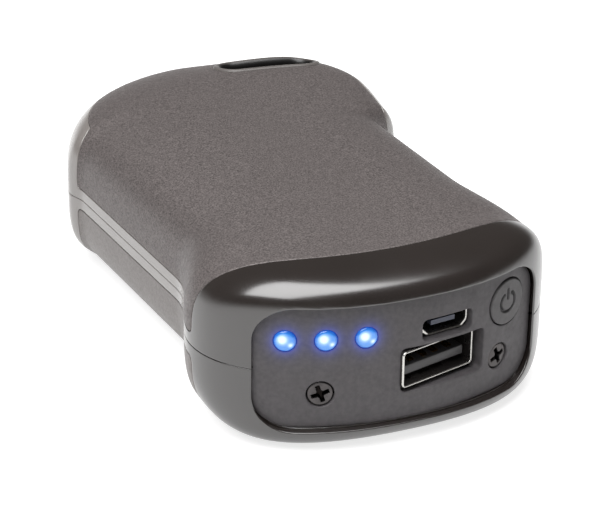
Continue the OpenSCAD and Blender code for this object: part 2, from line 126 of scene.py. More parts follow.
def cutAt(sheet, name, level):
    cols, tris = sheet["cols"], sheet["tris"]
    place = sheet["names"].index(name)
    gap = cols[:, place] - level
    gap[np.abs(gap) < snap] = 0
    cols = cols.copy()
    cols[gap == 0, place] = level
    sign = np.sign(gap)[tris]
    mixed = (sign.max(1) > 0) & (sign.min(1) < 0)
    kept, cut, cutSign = tris[~mixed], tris[mixed], sign[mixed]
    if len(cut) == 0:
        sheet["cols"] = cols
        return
    hasZero = (cutSign == 0).any(1)
    first = np.where(hasZero, np.argmax(cutSign == 0, 1),
                     np.argmax(cutSign * np.sign(cutSign.sum(1, keepdims=True)) < 0, 1))
    order = (first[:, None] + np.arange(3)) % 3
    cut = np.take_along_axis(cut, order, 1)
    one, two = cut[hasZero], cut[~hasZero]
    edges = np.sort(np.vstack([one[:, 1:], two[:, [0, 1]], two[:, [0, 2]]]), 1)
    keys, back = np.unique(edges, axis=0, return_inverse=True)
    back = back.reshape(-1) + len(cols)
    ga, gb = gap[keys[:, 0]], gap[keys[:, 1]]
    share = (ga / (ga - gb))[:, None]
    fresh = cols[keys[:, 0]] * (1 - share) + cols[keys[:, 1]] * share
    fresh[:, place] = level
    m = back[:len(one)]
    m1, m2 = back[len(one):len(one) + len(two)], back[len(one) + len(two):]
    parts = [kept,
             np.c_[one[:, 0], one[:, 1], m], np.c_[one[:, 0], m, one[:, 2]],
             np.c_[two[:, 0], m1, m2], np.c_[m1, two[:, 1], two[:, 2]], np.c_[m1, two[:, 2], m2]]
    sheet["cols"] = np.vstack([cols, fresh])
    sheet["tris"] = np.vstack(parts).astype(int)


def keepPart(sheet, name, level):
    good = column(sheet, name)[sheet["tris"]].mean(1) > level
    used, back = np.unique(sheet["tris"][good], return_inverse=True)
    return dict(names=list(sheet["names"]), cols=sheet["cols"][used], tris=back.reshape(-1, 3))


def roundOver(sheet, edges):
    cols = sheet["cols"]
    drop = np.zeros(len(cols))
    for name, level, radius in edges:
        away = np.clip(column(sheet, name) - level, 0, radius)
        drop = np.maximum(drop, radius - np.sqrt(np.maximum(radius ** 2 - (radius - away) ** 2, 0)))
    cols[:, :3] -= unit(cols[:, 3:6]) * drop[:, None]


def trimmed(source, edges, parts=edgeSteps):
    # keeps what lies past each edge's level, and rounds those edges over
    sheet = dict(names=list(source["names"]), cols=source["cols"].copy(), tris=source["tris"])
    for name, level, radius in edges:
        cutAt(sheet, name, level)
        sheet = keepPart(sheet, name, level)
        for part in parts:
            cutAt(sheet, name, level + radius * part)
    roundOver(sheet, edges)
    return sheet


def closeSheet(points, under, tris):
    # joins a sheet and its underside with walls along the rim
    count = len(points)
    edges = np.vstack([tris[:, [0, 1]], tris[:, [1, 2]], tris[:, [2, 0]]])
    back, times = np.unique(np.sort(edges, 1), axis=0, return_inverse=True, return_counts=True)[1:]
    rim = edges[times[back.reshape(-1)] == 1]
    walls = np.vstack([np.c_[rim[:, 1], rim[:, 0], rim[:, 0] + count],
                       np.c_[rim[:, 1], rim[:, 0] + count, rim[:, 1] + count]])
    return np.vstack([points, under]), np.vstack([tris, tris[:, ::-1] + count, walls])


def thicken(sheet, depth, deeper=None):
    points = sheet["cols"][:, :3]
    under = points - unit(sheet["cols"][:, 3:6]) * depth
    if deeper is not None:
        mask, vector = deeper
        under[mask] = points[mask] + vector
    return closeSheet(points, under, sheet["tris"])


def mirrored(sheet):
    out = dict(names=list(sheet["names"]), cols=sheet["cols"].copy(), tris=sheet["tris"][:, ::-1])
    out["cols"][:, [2, 5]] *= -1
    return out


def sweepRings(rings, closed=False, capFirst=False, capLast=False):
    # joins loops of equal point counts, given from the outside of the form to its inside
    rings = np.asarray(rings, float)
    count, size = rings.shape[:2]
    faces = []
    for i in range(count if closed else count - 1):
        a, b = i * size, ((i + 1) % count) * size
        for k in range(size):
            n = (k + 1) % size
            faces.append([a + k, a + n, b + n, b + k])
    if capFirst:
        faces.append(list(range(size))[::-1])
    if capLast:
        faces.append([(count - 1) * size + k for k in range(size)])
    return rings.reshape(-1, 3), faces


def joinParts(parts):
    points, faces, start = [], [], 0
    for verts, polys in parts:
        points.append(np.asarray(verts, float))
        faces += [[int(k) + start for k in f] for f in polys]
        start += len(verts)
    return np.vstack(points), faces


def gridTris(a, b, c, d):
    # two triangles for each quad, from arrays of its corners
    return np.vstack([np.stack([a, b, c], -1).reshape(-1, 3), np.stack([a, c, d], -1).reshape(-1, 3)])


# the crowned body surface
def ease(t):
    c = np.clip(t, 0, 1)
    return c * c * (3 - 2 * c)


def arch(t, power):
    return np.maximum(0, 1 - np.clip(t, 0, 1) ** power) ** (1 / power)


def nearW(y, side):
    near, far = body["waistLeft"] if side < 0 else body["waistRight"]
    waist = near + (far - near) * np.clip((y - body["capL"]) / (domeY - body["capL"]), 0, 1)
    blend = ease((y - body["capL"]) / body["flareL"])
    cap = body["capHalfW"] * arch((body["capL"] - y) / body["capL"], body["capPower"])
    return cap * (1 - blend) + waist * blend


def headShare(y, side):
    corner = domeY - (body["cornerLeft"] if side < 0 else body["cornerRight"])
    return ease((y - corner) / body["cornerL"])


def domePower(side):
    return body["domeLeft"] if side < 0 else body["domeRight"]


def halfW(y, side):
    blend = headShare(y, side)
    head = body["headHalfW"] * arch((y - domeY) / body["domeL"], domePower(side))
    return nearW(y, side) * (1 - blend) + head * blend


def sectionPower(y, side):
    power = body["frontPower"] + (body["crownPower"] - body["frontPower"]) * ease(y / body["capL"])
    fuller = (ease((y - domeY + body["shoulderAhead"]) / body["shoulderL"])
              * ease((body["length"] - y) / body["shoulderEndL"]))
    return power + (body["shoulderPower"] * fuller if side > 0 else 0)


def crownT(y):
    rise = arch((body["rimRiseL"] - y) / body["rimRiseL"], 2)
    tail = np.maximum(0, (y - body["tailY"]) / (body["length"] - body["tailY"])) ** 2
    return body["rimHalfT"] * (1 - rise) + body["halfT"] * rise - body["tailDrop"] * tail


def bodyGrid():
    # rows run round the outline from the cap's middle, rings climb from the parting line to the spine
    fine = body["length"] * (1 - np.cos(np.linspace(0, math.pi, body["outlineSamples"]))) / 2
    along = sum(np.r_[0, np.cumsum(np.hypot(np.diff(halfW(fine, s)), np.diff(fine)))] for s in (-1, 1)) / 2
    rowCount = int(along[-1] / body["rowStep"])
    rowY = np.interp(np.linspace(0, along[-1], rowCount + 1), along, fine)
    loop = [(y, 1) for y in rowY] + [(y, -1) for y in rowY[-2:0:-1]]
    angle = np.linspace(0, math.pi / 2, body["sectionSamples"])
    want = np.linspace(0, 1, body["ringCount"] + 1)
    even, drawn, drawPower = body["ringSpread"]
    grid = []
    for y, side in loop:
        power = sectionPower(y, side)
        share = 1 - np.maximum(np.cos(angle), 0) ** (2 / power)
        lift = np.sin(angle) ** (2 / power)
        spineY = np.clip(y, body["capL"], domeY)
        px = side * halfW(y, side) * (1 - share)
        py = y + (spineY - y) * share
        curve = np.stack([px, py, crownT(py) * lift], 1)
        far = np.r_[0, np.cumsum(np.linalg.norm(np.diff(curve, axis=0), axis=1))]
        spread = far[-1] * (even * want + drawn * want ** drawPower)
        grid.append(np.stack([np.interp(spread, far, curve[:, i]) for i in range(3)], 1))
    grid = np.array(grid)
    below = grid[:, 1:2] * [1, 1, -1]
    tall = np.concatenate([below, grid], 1)
    across = np.roll(grid, -1, 0) - np.roll(grid, 1, 0)
    up = np.empty_like(grid)
    up[:, :-1] = tall[:, 2:] - tall[:, :-2]
    up[:, -1] = grid[:, -1] - grid[:, -2]
    normal = unit(np.cross(across, up))
    normal[:, -1] = [0, 0, 1]
    rows, rings = grid.shape[:2]
    index = np.arange(rows * rings).reshape(rows, rings)
    a, b = index[:, :-1], np.roll(index, -1, 0)[:, :-1]
    c, d = np.roll(index, -1, 0)[:, 1:], index[:, 1:]
    tris = gridTris(a, b, c, d)
    points = grid.reshape(-1, 3)
    first, back = np.unique(np.round(points, 4), axis=0, return_index=True, return_inverse=True)[1:]
    tris = back.reshape(-1)[tris]
    good = (tris[:, 0] != tris[:, 1]) & (tris[:, 1] != tris[:, 2]) & (tris[:, 0] != tris[:, 2])
    return newSheet(points[first], normal.reshape(-1, 3)[first], tris[good])


def surfaceZ(x, y):
    # height of the crown over a place in the head, right of the centre line
    edgeY = np.linspace(domeY, body["length"], body["headSamples"])
    edgeX = halfW(edgeY, 1)
    turn = np.arctan2(edgeY - domeY, edgeX)
    at = np.arctan2(y - domeY, x)
    share = np.hypot(x, y - domeY) / np.interp(at, turn, np.hypot(edgeX, edgeY - domeY))
    power = sectionPower(np.interp(at, turn, edgeY), 1)
    return crownT(y) * np.maximum(1 - share ** power, 0) ** (1 / power)


def roundedBox(x, z, halfX, halfZ, corner):
    # signed distance to a rounded rectangle, negative inside
    dx, dz = np.abs(x) - halfX + corner, np.abs(z) - halfZ + corner
    return np.hypot(np.maximum(dx, 0), np.maximum(dz, 0)) + np.minimum(np.maximum(dx, dz), 0) - corner


def softMin(a, b, blend):
    mixShare = np.clip(0.5 + 0.5 * (b - a) / blend, 0, 1)
    return b * (1 - mixShare) + a * mixShare - blend * mixShare * (1 - mixShare)


# heat plate outline, with bandH the bare band's height; lanyard eye; end panel on its arc
plate = dict(bandH=1.8, inset=2.5, insetLeft=3.8, flankOver=2, seamY=10, seamBow=8, seamOver=3,
             thick=1.0, gap=0.03, edgeR=0.16, cornerR=1.2, eyeGap=0.05)
# the eye's profile is the way in from the slot's edge and the height over the crown
eye = dict(x=12.5, y=84.5, turn=-8, length=18.5, width=8.2, count=120, seat=0.7, slotShadeFrom=0.75, slotShadeOver=0.4,
           profile=[(0, -1.2), (0, -0.12), (0.06, 0.06), (0.2, 0.2), (0.42, 0.28), (0.7, 0.28), (0.98, 0.18),
                    (1.2, 0.0), (1.37, -0.25), (1.47, -0.6), (1.5, -1.1), (1.5, -3)])
panel = dict(radius=42, set=1.5, halfX=22.04, halfZ=9.6, corner=5.2, thick=2.0, gap=0.05, arcHalf=23.25,
             over=0.1, step=0.4, edgeGap=0.07, edgeR=0.35, ledHoleR=0.12, holeR=0.18, cutSteps=(0.12, 0.5, 1),
             ledSpillReach=0.6, endL=40)


def plateField(x, y, z):
    lift = np.abs(z) - plate["bandH"]
    side = np.where(x < 0, -1, 1)
    inset = np.where(x < 0, plate["insetLeft"], plate["inset"])
    wide = body["headHalfW"] - inset
    deep = body["domeL"] - plate["inset"]
    near = np.where(side < 0, nearW(y, -1), nearW(y, 1)) + plate["flankOver"]
    share = np.where(side < 0, headShare(y, -1), headShare(y, 1))
    flank = near * (1 - share) + wide * share - np.abs(x)
    power = np.where(side < 0, domePower(-1), domePower(1))
    rho = ((np.abs(x) / wide) ** power + (np.maximum(y - domeY, 0) / deep) ** power) ** (1 / power)
    head = np.where(y > domeY, (1 - rho) * wide, flank)
    across = x / (body["capHalfW"] + plate["seamOver"])
    seam = y - plate["seamY"] - plate["seamBow"] * across ** 2
    return softMin(softMin(lift, head, plate["cornerR"]), seam, plate["cornerR"])


def eyeField(x, y):
    turn = math.radians(eye["turn"])
    dx, dy = x - eye["x"], y - eye["y"]
    u = dx * math.cos(turn) + dy * math.sin(turn)
    v = -dx * math.sin(turn) + dy * math.cos(turn)
    straight = (eye["length"] - eye["width"]) / 2
    return np.hypot(np.maximum(np.abs(u) - straight, 0), v) - eye["width"] / 2


def panelField(x, y, z):
    edge = roundedBox(x, z, panel["halfX"], panel["halfZ"], panel["corner"])
    return np.where(y < panel["endL"], edge, farAway)


skin = bodyGrid()
sx, sy, sz = (skin["cols"][:, i] for i in range(3))
addField(skin, "plate", plateField(sx, sy, sz))
addField(skin, "bare", -column(skin, "plate"), even=False)
addField(skin, "rim", panelField(sx, sy, sz))
addField(skin, "eye", eyeField(sx, sy), even=False)
addField(skin, "mid", sz.copy(), even=False)
print("body surface:", len(skin["tris"]), "triangles")


# materials
noiseRange = (0.3, 0.7)  # the part of a noise that is spread over the wanted range
roughDetail = 3


def toLinear(*shades):
    # screen shades of 0 to 255 as a linear colour
    parts = [shade / 255 for shade in shades]
    return tuple(v / 12.92 if v < 0.04045 else ((v + 0.055) / 1.055) ** 2.4 for v in parts) + (1,)


def mathNode(nodes, links, operation, first, second):
    # the second value is a socket or a number
    node = nodes.new("ShaderNodeMath")
    node.operation = operation
    links.new(first, node.inputs[0])
    if isinstance(second, float):
        node.inputs[1].default_value = second
    else:
        links.new(second, node.inputs[1])
    return node.outputs["Value"]


def finish(name, color, rough, grains, bumps, metal=0.0, level=0.5, coat=0.0, coatRough=0.05, ior=1.5,
           glow=None, roughVary=None, pale=None):
    # grains: (scale, dark, light, detail) tone variations; bumps: (scale, depth in mm, detail)
    # pale: vertex mark and the colour it brings in, for painted reflection, painted shade and a dark mark;
    # glow: vertex mark, colour and strength of painted light
    mat = bpy.data.materials.new(name)
    mat.use_nodes = True
    nodes, links = mat.node_tree.nodes, mat.node_tree.links
    shader = nodes["Principled BSDF"]
    shader.inputs["Base Color"].default_value = color
    shader.inputs["Roughness"].default_value = rough
    shader.inputs["Metallic"].default_value = metal
    shader.inputs["Specular IOR Level"].default_value = level
    shader.inputs["IOR"].default_value = ior
    shader.inputs["Coat Weight"].default_value = coat
    shader.inputs["Coat Roughness"].default_value = coatRough
    place = nodes.new("ShaderNodeTexCoord")

    def noise(scale, detail):
        node = nodes.new("ShaderNodeTexNoise")
        node.inputs["Scale"].default_value = scale
        node.inputs["Detail"].default_value = detail
        links.new(place.outputs["Object"], node.inputs["Vector"])
        return node.outputs["Fac"]

    def mapped(scale, detail, low, high):
        ramp = nodes.new("ShaderNodeMapRange")
        ramp.inputs["From Min"].default_value, ramp.inputs["From Max"].default_value = noiseRange
        ramp.inputs["To Min"].default_value, ramp.inputs["To Max"].default_value = low, high
        links.new(noise(scale, detail), ramp.inputs["Value"])
        return ramp.outputs["Result"]

    def marked(mark):
        source = nodes.new("ShaderNodeAttribute")
        source.attribute_name = mark
        return source.outputs["Fac"]

    tone = None
    for scale, dark, light, detail in grains:
        grain = mapped(scale, detail, dark, light)
        tone = grain if tone is None else mathNode(nodes, links, "MULTIPLY", tone, grain)
    tint = nodes.new("ShaderNodeVectorMath")
    tint.operation = "SCALE"
    tint.inputs[0].default_value = color[:3]
    links.new(tone, tint.inputs["Scale"])
    links.new(tint.outputs["Vector"], shader.inputs["Base Color"])
    if pale:
        mark, paleColor = pale
        blend = nodes.new("ShaderNodeMix")
        blend.data_type = "RGBA"
        blend.inputs["B"].default_value = paleColor
        links.new(marked(mark), blend.inputs["Factor"])
        links.new(tint.outputs["Vector"], blend.inputs["A"])
        links.new(blend.outputs["Result"], shader.inputs["Base Color"])
    if roughVary:
        scale, low, high = roughVary
        links.new(mapped(scale, roughDetail, low, high), shader.inputs["Roughness"])
    last = None
    for scale, depth, detail in bumps:
        bump = nodes.new("ShaderNodeBump")
        bump.inputs["Distance"].default_value = depth / 1000
        links.new(noise(scale, detail), bump.inputs["Height"])
        if last is not None:
            links.new(last.outputs["Normal"], bump.inputs["Normal"])
        last = bump
    links.new(last.outputs["Normal"], shader.inputs["Normal"])
    if glow:
        mark, glowColor, strength = glow
        power = mathNode(nodes, links, "MULTIPLY", marked(mark), strength)
        links.new(power, shader.inputs["Emission Strength"])
        shader.inputs["Emission Color"].default_value = glowColor
    return mat


looks = dict(
    # the shell's paler colour past the cap is a painted reflection of the pale floor on the glossy waist
    shell=finish("shellGloss", toLinear(34, 29, 27), 0.22, coat=0.15, coatRough=0.1, ior=1.84,
                 grains=[(60, 0.92, 1.1, 2)], bumps=[(420, 0.002, 1)], roughVary=(90, 0.2, 0.26),
                 pale=("paintedSheenBand", toLinear(120, 115, 112))),
    plate=finish("plateSatinSpeckle", toLinear(94, 88, 87), 0.5, metal=0.3, level=0.45,
                 grains=[(4200, 0.6, 1.45, 1), (1300, 0.93, 1.07, 2), (25, 0.98, 1.02, 1)],
                 bumps=[(3000, 0.015, 1)], roughVary=(1500, 0.42, 0.58)),
    # the lower plate has the top plate's paint; its lighter, smoother colour paints the light it gets from
    # the floor
    plateLowPaintedLight=finish("lowerPlatePaintedLighter", toLinear(114, 109, 107), 0.45, metal=0.3,
                    grains=[(3400, 0.86, 1.16, 1), (25, 0.98, 1.02, 1)],
                    bumps=[(3000, 0.01, 1)], roughVary=(1500, 0.4, 0.5)),
    # the collar's near-black colour down the slot is painted shade
    collar=finish("eyeCollarSatin", toLinear(92, 88, 86), 0.4,
                  grains=[(200, 0.94, 1.06, 2)], bumps=[(900, 0.004, 2)], roughVary=(300, 0.36, 0.44),
                  pale=("paintedShadeAndDarkMark", toLinear(15, 14, 14))),
    # the panel's blue emission round the LED holes is painted light from the LEDs
    panel=finish("panelMatteGrain", toLinear(80, 77, 79), 0.55, level=0.45,
                 grains=[(1400, 0.86, 1.14, 3), (40, 0.96, 1.04, 1)],
                 bumps=[(1500, 0.035, 3)], roughVary=(600, 0.48, 0.62),
                 glow=("paintedLedSpill", (0.03, 0.09, 0.8, 1), 0.36)),
    button=finish("buttonMatte", toLinear(80, 78, 79), 0.5, level=0.45,
                  grains=[(1400, 0.9, 1.1, 3)], bumps=[(1500, 0.02, 3)], roughVary=(600, 0.44, 0.56),
                  pale=("paintedShadeAndDarkMark", toLinear(26, 25, 26))),
    shade=finish("portShellPaintedShade", toLinear(58, 55, 54), 0.34, metal=0.6,
                 grains=[(500, 0.93, 1.05, 3)], bumps=[(900, 0.006, 2)], roughVary=(400, 0.24, 0.38)),
    # the screws' dark colour in the cross recess is painted shade
    screw=finish("screwDarkZinc", toLinear(78, 75, 75), 0.34, metal=1.0,
                 grains=[(900, 0.8, 1.15, 3)], bumps=[(1800, 0.01, 2)], roughVary=(700, 0.26, 0.44),
                 pale=("paintedShadeAndDarkMark", toLinear(22, 19, 18))),
    connector=finish("connectorNickel", toLinear(190, 188, 184), 0.26, metal=1.0,
                     grains=[(500, 0.93, 1.05, 3)], bumps=[(900, 0.006, 2)], roughVary=(400, 0.2, 0.34)),
    socket=finish("socketPlasticGrey", toLinear(64, 63, 64), 0.42,
                  grains=[(700, 0.95, 1.05, 2)], bumps=[(900, 0.01, 2)]),
    # the micro USB tongue's darkened colour paints the shade inside the port
    micro=finish("microPlasticPaintedShade", toLinear(84, 88, 104), 0.4,
                 grains=[(700, 0.95, 1.05, 2)], bumps=[(900, 0.01, 2)]),
    gold=finish("contactGold", toLinear(222, 176, 92), 0.22, metal=1.0,
                grains=[(900, 0.92, 1.06, 2)], bumps=[(1200, 0.004, 2)]),
    film=finish("filmAmber", toLinear(176, 104, 42), 0.3, coat=0.4,
                grains=[(300, 0.9, 1.1, 3)], bumps=[(500, 0.01, 2)]),
    board=finish("boardGreen", toLinear(24, 82, 50), 0.38, coat=0.3,
                 grains=[(220, 0.85, 1.1, 3)], bumps=[(900, 0.01, 2)]),
    chip=finish("chipEpoxy", toLinear(34, 34, 37), 0.55,
                grains=[(900, 0.9, 1.12, 3)], bumps=[(1200, 0.01, 3)]),
    can=finish("canAluminium", toLinear(176, 178, 182), 0.3, metal=1.0,
               grains=[(400, 0.93, 1.05, 3)], bumps=[(700, 0.006, 2)]),
    cell=finish("cellSleeve", toLinear(38, 96, 150), 0.32, coat=0.3,
                grains=[(120, 0.93, 1.06, 3)], bumps=[(300, 0.02, 2)]),
    cradle=finish("cradleNylon", toLinear(206, 200, 186), 0.5,
                  grains=[(300, 0.95, 1.04, 3)], bumps=[(700, 0.015, 3)]),
    foam=finish("foamCharcoal", toLinear(58, 58, 60), 0.95,
                grains=[(900, 0.6, 1.3, 4)], bumps=[(1100, 0.15, 4)]),
    nickel=finish("tabNickel", toLinear(186, 184, 178), 0.3, metal=1.0,
                  grains=[(300, 0.92, 1.06, 3)], bumps=[(500, 0.006, 2)]),
    redWire=finish("leadRed", toLinear(178, 32, 28), 0.42,
                   grains=[(500, 0.94, 1.05, 2)], bumps=[(800, 0.01, 2)]),
    blackWire=finish("leadBlack", toLinear(28, 28, 29), 0.42,
                     grains=[(500, 0.94, 1.05, 2)], bumps=[(800, 0.01, 2)]),
    bead=finish("sensorBead", toLinear(88, 60, 34), 0.35, coat=0.5,
                grains=[(700, 0.85, 1.12, 3)], bumps=[(900, 0.01, 2)]),
    led=finish("ledLensBlue", toLinear(36, 100, 180), 0.12, coat=0.5,
               grains=[(900, 0.94, 1.06, 2)], bumps=[(600, 0.004, 2)]))

slotLooks = dict(
    shell="shell", top_plate="plate", bottom_plate="plateLowPaintedLight", panel="panel", button="button", screw="screw",
    led="led", connector="connector", socket_plastic="socket", micro_plastic="micro", gold="gold",
    film="film", board="board", chip="chip", can="can", cell="cell", cradle="cradle", foam="foam",
    nickel="nickel", red_wire="redWire", black_wire="blackWire", bead="bead")
for row in frame["record"]["subparts"]:
    look = slotLooks.get(row["material_slot"])
    node = frame["nodes"].get(row["node"])
    if look and node is not None:
        node.data.materials.clear()
        node.data.materials.append(looks[look])
print("materials:", len(looks))

# shells and heat plates
shell = dict(gap=0.03, plateR=0.14, rimR=0.22, midGap=0.018, midR=0.12, wall=1.1, rimDepth=2.7,
             innerRim=0.5, innerEye=-0.6, innerSet=1.25, innerThick=0.5,
             sheenFrom=17, sheenL=8, fade=0.8, sheenFadeFrom=80, sheenFadeL=15)
plateTop = trimmed(skin, [("plate", plate["gap"], plate["edgeR"]), ("eye", plate["eyeGap"], plate["edgeR"])])
bandTop = trimmed(skin, [("bare", shell["gap"], shell["plateR"]), ("rim", panel["gap"], shell["rimR"]),
                         ("mid", shell["midGap"], shell["midR"])])
atRim = np.abs(column(bandTop, "rim") - panel["gap"]) < 1e-6
inner = trimmed(skin, [("rim", shell["innerRim"], 0), ("eye", shell["innerEye"], 0)], ())  # behind the joints
inner["cols"][:, :3] -= unit(inner["cols"][:, 3:6]) * shell["innerSet"]


def buildHalf(tag, flip, plateLook):
    band, wall, cover = (mirrored(sheet) if flip else sheet for sheet in (bandTop, inner, plateTop))
    shellPiece = makePiece(tag + "ShellVisual", *joinParts([
        thicken(band, shell["wall"], (atRim, [0, shell["rimDepth"], 0])),
        thicken(wall, shell["innerThick"])]), looks["shell"])
    # painted reflection: a paler shell colour from the cap's end back, fading out towards the head
    far = vertexPlaces(shellPiece)[:, 1]
    fade = shell["fade"] * ease((far - shell["sheenFadeFrom"]) / shell["sheenFadeL"])
    markVertices(shellPiece, "paintedSheenBand", ease((far - shell["sheenFrom"]) / shell["sheenL"]) * (1 - fade))
    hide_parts(tag + "_shell")
    platePiece = makePiece(tag + "PlateVisual", *thicken(cover, plate["thick"]), looks[plateLook])
    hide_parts(tag + "_heat_plate")


buildHalf("top", False, "plate")
buildHalf("bottom", True, "plateLowPaintedLight")


# lanyard eye
def eyeLoop(offset):
    # stadium loop round the slot, moved in by offset
    reach, half = eye["width"] / 2 - offset, (eye["length"] - eye["width"]) / 2
    quarter = math.pi * reach / 2
    stops = np.cumsum([0, quarter, 2 * half, 2 * quarter, 2 * half, quarter])
    far = np.linspace(0, stops[-1], eye["count"], endpoint=False)
    turn = np.radians(np.interp(far, stops, [0, 90, 90, 270, 270, 360]))
    u = np.interp(far, stops, [half, half, -half, -half, half, half]) + reach * np.cos(turn)
    v = reach * np.sin(turn)
    lean = math.radians(eye["turn"])
    return (eye["x"] + u * math.cos(lean) - v * math.sin(lean),
            eye["y"] + u * math.sin(lean) + v * math.cos(lean))


upperRings = []
for offset, lift in eye["profile"]:
    seatZ = surfaceZ(*eyeLoop(min(offset, eye["seat"])))
    upperRings.append(np.stack([*eyeLoop(offset), seatZ + lift], 1))
lowerRings = [ring * [1, 1, -1] for ring in upperRings[::-1]]
collarPoints, collarFaces = sweepRings(upperRings + lowerRings, closed=True)
collarFaces = [f[::-1] for f in collarFaces]
collar = makePiece("lanyardEyeCollar", collarPoints, collarFaces, looks["collar"], sharp=60)
# painted shade: the collar darkens down the slot's walls, from the given start inwards
wayIn = np.array([offset for offset, lift in eye["profile"]])
collarPaintedShade = np.clip((wayIn - eye["slotShadeFrom"]) / eye["slotShadeOver"], 0, 1)
markVertices(collar, "paintedShadeAndDarkMark", np.repeat(np.r_[collarPaintedShade, collarPaintedShade[::-1]], eye["count"]))
print("shells, plates and eye made")

# what the end panel carries; arc lengths and heights are those on the panel
leds = dict(x=-18.2, pitch=5.7, z=4.2, nodes=("led_left", "led_middle", "led_right"),
            radius=1.6, hole=1.67, proud=0.45, seat=0.12, back=3.2, tipR=0.04, rows=11,
            core=0.3, coreR=1.15, coreSoft=0.4,  # even light across the lens
            # painted highlights on each lens: a pale spot at the upper left and a crescent at the lower right
            paintedHighlights=((0.9, -0.35, 0.4, 0.38), (0.55, 0.8, -0.45, 0.12)),  # strength, place, spread
            rimLight=(0.01, 0.07, 0.5, 1), bodyLight=(0.06, 0.3, 0.8, 1), paintedHighlightColour=(0.8, 0.96, 1.0, 1),
            bodyAt=0.28, paintedHighlightAt=0.8, low=0.45, high=1.1)
screws = dict(places=(-13.2, 15.6), z=-4.2, headR=1.95, hole=2.03, set=0.28, crown=0.16, edgeR=0.3,
              step=0.07, back=1.6, turn=0.35, arm=0.34, reach=1.35, core=0.62, coreSlope=0.8,
              slope=0.16, deep=0.7, recessShadeGain=1.5, darkenDeep=1.4)
usb = dict(x=5.0, z=-1.6, turn=15, set=0.9, wide=13.1, tall=5.7, deep=9.0, wall=0.32, corner=0.65,
           innerCorner=0.12, holeX=5.43, holeZ=-1.85, holeHalfX=7.0, holeHalfZ=3.4, holeCorner=0.7,
           shadeFrom=0.3, tabX=3.1,
           flatTab=(1.1, 6.2, 0.85, 0.42), sideTab=(1.4, 5.6, 0.7, 0.3),  # from, to, half width, bulge
           tabRows=9, tabPeak=1.15, tabLift=0.02, tabThick=0.12,
           tongueZ=-0.7, tongueHalfX=5.6, tongueHalfZ=0.75, tongueCorner=0.25, cornerSteps=4,
           tongueEnds=((9.4, 0), (1.25, 0), (1.05, 0.08), (1.0, 0.2)), back=(9.4, 8.6), backCorner=0.2,
           contactX=(-3.5, -1.0, 1.0, 3.5), contactHalf=0.5, contactThick=0.14,
           contactRun=((1.7, -0.02), (2.1, 0.14), (3.2, 0.26), (4.6, 0.3), (6.2, 0.2), (8.8, 0.12)))
micro = dict(x=5.8, z=3.8, wide=7.6, tall=2.7, set=1.1, deep=5.0, wall=0.28, chamfer=0.95, cornerR=0.3,
             holeX=5.8, holeZ=3.8, holeHalfX=4.2, holeHalfZ=1.62, holeCorner=0.8, shadeFrom=0.15)
button = dict(x=17.0, z=4.1, radius=3.5, hole=3.64, proud=0.2, edgeR=0.22, step=0.1, back=2.0,
              markR=1.5, markGap=32, markBar=(0.55, 1.95), markDeep=0.3, markHalf=0.19,
              markSoft=0.09, markSlope=0.16, darkenDeep=1)
upward = np.array([0, 0, 1.0])


def onPanel(arc, z, deep=0.0):
    # arc length along the panel, height, depth into the cap
    turn = np.asarray(arc, float) / panel["radius"]
    x = panel["radius"] * np.sin(turn) - np.sin(turn) * deep
    y = panel["set"] + panel["radius"] * (1 - np.cos(turn)) + np.cos(turn) * deep
    return np.stack(np.broadcast_arrays(x, y, z), -1)


def panelPlace(points):
    # the way back: arc length, height and depth of each point
    x, toAxis = points[:, 0], panel["radius"] + panel["set"] - points[:, 1]
    return np.arctan2(x, toAxis) * panel["radius"], points[:, 2], panel["radius"] - np.hypot(x, toAxis)


def patchSheet(halfU, halfV, step):
    # flat grid of (u, v) places, facing out
    us = np.linspace(-halfU, halfU, int(2 * halfU / step) + 1)
    vs = np.linspace(-halfV, halfV, int(2 * halfV / step) + 1)
    u, v = (g.reshape(-1) for g in np.meshgrid(us, vs, indexing="ij"))
    index = np.arange(len(u)).reshape(len(us), len(vs))
    a, b, c, d = index[:-1, :-1], index[1:, :-1], index[1:, 1:], index[:-1, 1:]
    points = np.stack([u, np.zeros_like(u), v], 1)
    return newSheet(points, np.tile([0.0, -1.0, 0.0], (len(u), 1)), gridTris(a, b, c, d))


def bendToPanel(sheet):
    # lays a flat sheet, drawn as (arc, depth, height), on the panel
    flat = sheet["cols"]
    lean = flat[:, 0] / panel["radius"]
    bent = flat.copy()
    bent[:, :3] = onPanel(flat[:, 0], flat[:, 2], flat[:, 1])
    bent[:, 3] = flat[:, 3] * np.cos(lean) - flat[:, 4] * np.sin(lean)
    bent[:, 4] = flat[:, 3] * np.sin(lean) + flat[:, 4] * np.cos(lean)
    sheet["cols"] = bent
    return sheet


# end panel with its holes
face = patchSheet(panel["arcHalf"], panel["halfZ"] + panel["over"], panel["step"])
arcAt, upAt = face["cols"][:, 0].copy(), face["cols"][:, 2].copy()
outlineAt = -roundedBox(panel["radius"] * np.sin(arcAt / panel["radius"]), upAt,
                        panel["halfX"], panel["halfZ"], panel["corner"]) - panel["edgeGap"]
ledArcs = [leds["x"] + i * leds["pitch"] for i in range(len(leds["nodes"]))]
discs = [(arc, leds["z"], leds["hole"]) for arc in ledArcs]
discs += [(arc, screws["z"], screws["hole"]) for arc in screws["places"]]
discs.append((button["x"], button["z"], button["hole"]))
holes = [np.hypot(arcAt - arc, upAt - z) - radius for arc, z, radius in discs]
for port in (usb, micro):
    holes.append(roundedBox(arcAt - port["holeX"], upAt - port["holeZ"],
                            port["holeHalfX"], port["holeHalfZ"], port["holeCorner"]))
addField(face, "outline", outlineAt, even=False)
panelEdges = [("outline", 0.0, panel["edgeR"])]
for i, values in enumerate(holes):
    addField(face, "hole%d" % i, values, even=False)
    panelEdges.append(("hole%d" % i, 0.0, panel["ledHoleR"] if i < len(ledArcs) else panel["holeR"]))
